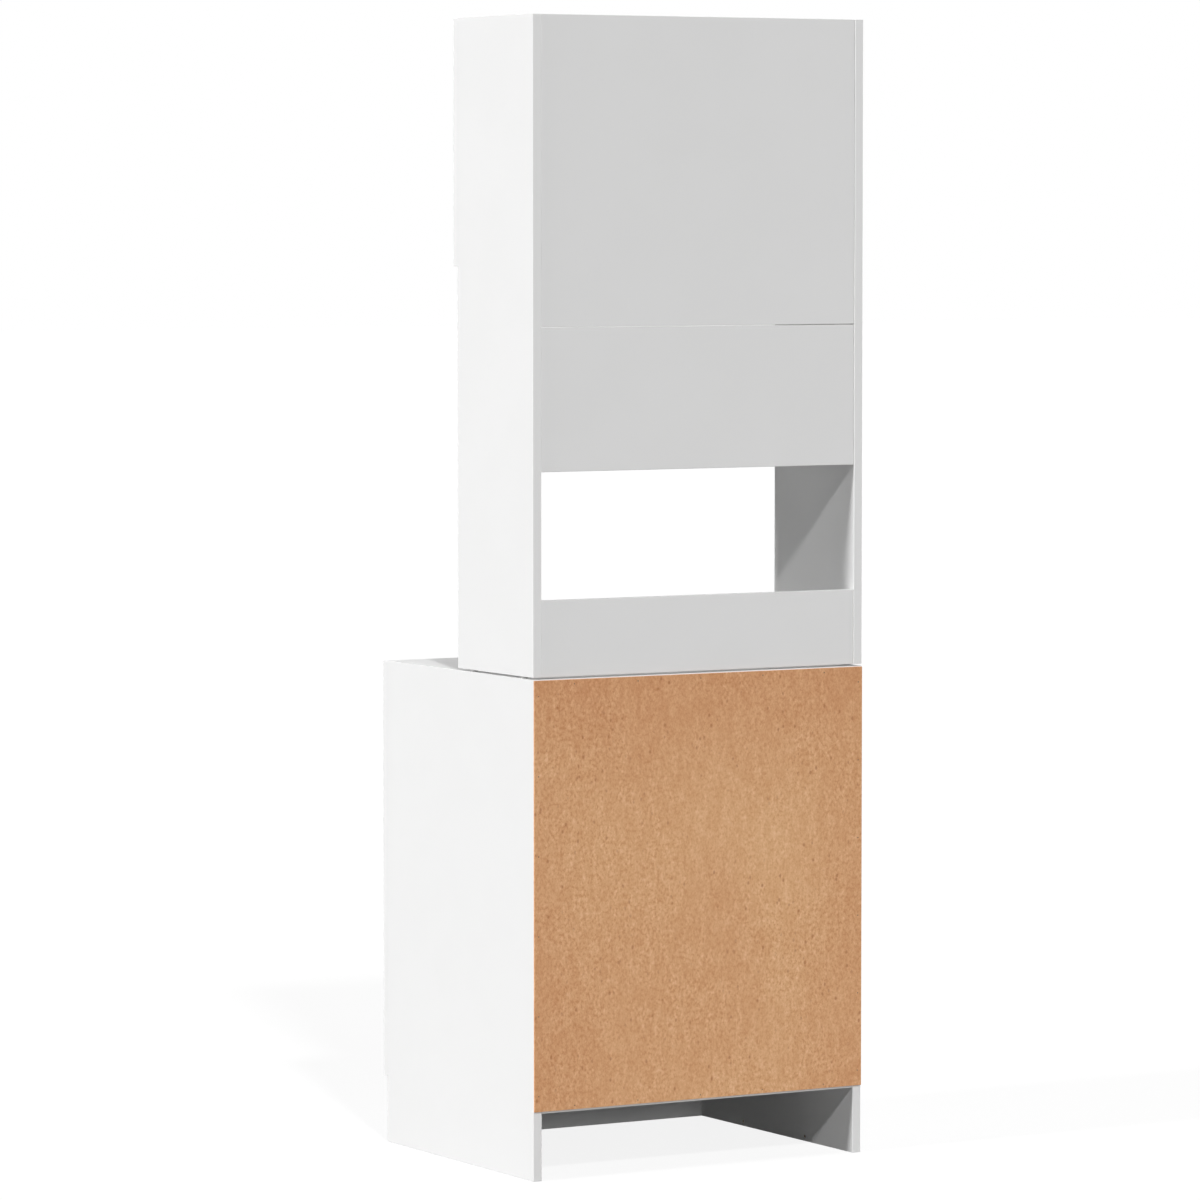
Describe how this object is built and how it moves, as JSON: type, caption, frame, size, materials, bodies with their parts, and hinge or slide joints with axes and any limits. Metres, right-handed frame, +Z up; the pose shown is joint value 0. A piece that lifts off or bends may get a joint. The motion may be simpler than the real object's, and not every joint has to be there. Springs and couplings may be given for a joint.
{
  "type": "kitchen cabinet",
  "caption": "Tall white kitchen cabinet: deep base unit with doors and a hardboard back, and a shallower upper unit with an open niche, an open shelf and a closed top compartment.",
  "frame": {"origin": "middle of the bounding box, on the floor", "axes": "+Z up, the doors face -Y, +X to the right of a person who faces the doors"},
  "size_m": [0.6, 0.526, 1.8],
  "materials": {
    "white_board": "satin white faced board",
    "hardboard": "raw brown hardboard",
    "beech": "plain fluted beech",
    "zinc_steel": "zinc-plated",
    "handle_steel": "satin",
    "nail_steel": "dull",
    "cast_zinc": "as cast",
    "grey_plastic": "moulded",
    "clear_bumper": "soft translucent"
  },
  "bodies": {
    "carcass": {"base_side_left": "white_board", "base_side_right": "white_board", "base_top_panel": "white_board", "base_bottom_panel": "white_board", "plinth": "white_board", "base_shelf": "white_board", "upper_side_left": "white_board", "upper_side_right": "white_board", "upper_top_panel": "white_board", "compartment_floor": "white_board", "niche_shelf": "white_board", "upper_back_panel": "white_board", "middle_back_panel": "white_board", "back_rail": "white_board", "base_back_panel": "hardboard", "back_panel_nails": "nail_steel", "cam_bolts": "zinc_steel", "cam_locks": "cast_zinc", "dowels": "beech", "plinth_dowels": "beech", "shelf_pins": "zinc_steel", "stacking_pins": "grey_plastic", "hinge_arms": "zinc_steel", "hinge_plates": "zinc_steel", "hinge_arm_screws": "zinc_steel", "hinge_plate_screws": "zinc_steel"},
    "base_door_left": {"base_left_door": "white_board", "base_left_door_hinge_cups": "zinc_steel", "base_left_door_hinge_pins": "zinc_steel", "base_left_door_cup_screws": "zinc_steel", "base_left_door_handle_bar": "handle_steel", "base_left_door_handle_posts": "handle_steel", "base_left_door_handle_screws": "zinc_steel", "base_left_door_bumpers": "clear_bumper"},
    "base_door_right": {"base_right_door": "white_board", "base_right_door_hinge_cups": "zinc_steel", "base_right_door_hinge_pins": "zinc_steel", "base_right_door_cup_screws": "zinc_steel", "base_right_door_handle_bar": "handle_steel", "base_right_door_handle_posts": "handle_steel", "base_right_door_handle_screws": "zinc_steel", "base_right_door_bumpers": "clear_bumper"},
    "upper_door_left": {"upper_left_door": "white_board", "upper_left_door_hinge_cups": "zinc_steel", "upper_left_door_hinge_pins": "zinc_steel", "upper_left_door_cup_screws": "zinc_steel", "upper_left_door_handle_bar": "handle_steel", "upper_left_door_handle_posts": "handle_steel", "upper_left_door_handle_screws": "zinc_steel", "upper_left_door_bumpers": "clear_bumper"},
    "upper_door_right": {"upper_right_door": "white_board", "upper_right_door_hinge_cups": "zinc_steel", "upper_right_door_hinge_pins": "zinc_steel", "upper_right_door_cup_screws": "zinc_steel", "upper_right_door_handle_bar": "handle_steel", "upper_right_door_handle_posts": "handle_steel", "upper_right_door_handle_screws": "zinc_steel", "upper_right_door_bumpers": "clear_bumper"}
  },
  "joints": [
    {"name": "base_left_door_hinge", "type": "hinge", "parent": "carcass", "child": "base_door_left", "pos_m": [-0.2915, -0.228, 0.44175], "axis": [0, 0, -1], "range_deg": [0, 95]},
    {"name": "base_right_door_hinge", "type": "hinge", "parent": "carcass", "child": "base_door_right", "pos_m": [0.2915, -0.228, 0.44175], "axis": [0, 0, 1], "range_deg": [0, 95]},
    {"name": "upper_left_door_hinge", "type": "hinge", "parent": "carcass", "child": "upper_door_left", "pos_m": [-0.2915, 0.009, 1.6055], "axis": [0, 0, -1], "range_deg": [0, 95]},
    {"name": "upper_right_door_hinge", "type": "hinge", "parent": "carcass", "child": "upper_door_right", "pos_m": [0.2915, 0.009, 1.6055], "axis": [0, 0, 1], "range_deg": [0, 95]}
  ]
}
